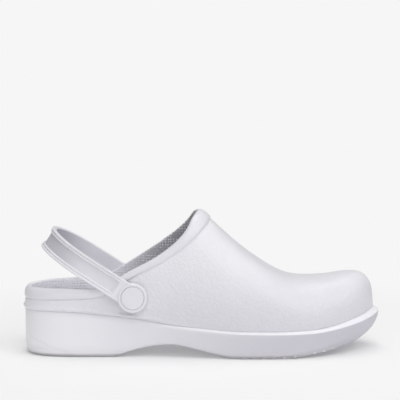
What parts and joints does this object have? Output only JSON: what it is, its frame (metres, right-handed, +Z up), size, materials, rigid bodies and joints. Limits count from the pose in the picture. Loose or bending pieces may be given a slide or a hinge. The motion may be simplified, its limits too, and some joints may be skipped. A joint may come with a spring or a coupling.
{
  "type": "chef clog",
  "caption": "White moulded foam work clog for the right foot, closed toe, low heel rim with a rolled edge and a standing heel strap on two snap rivets",
  "frame": {"origin": "on the floor at the centre of the shoe's bounding box", "axes": "+X from heel to toe, +Z up, +Y to the inner (big-toe) side of the foot"},
  "size_m": [0.28, 0.0988, 0.1105],
  "materials": {
    "sole": "smooth satin white foam rubber",
    "upper": "finely pebbled satin white foam rubber",
    "insole": "matte white foam with a nubby weave texture",
    "strap": "smooth satin white foam rubber",
    "rivet": "smooth white moulded plastic"
  },
  "bodies": {
    "root": {"sole": "sole", "upper": "upper", "insole": "insole", "heel_strap": "strap", "rivet_outer": "rivet", "rivet_inner": "rivet"}
  },
  "joints": []
}
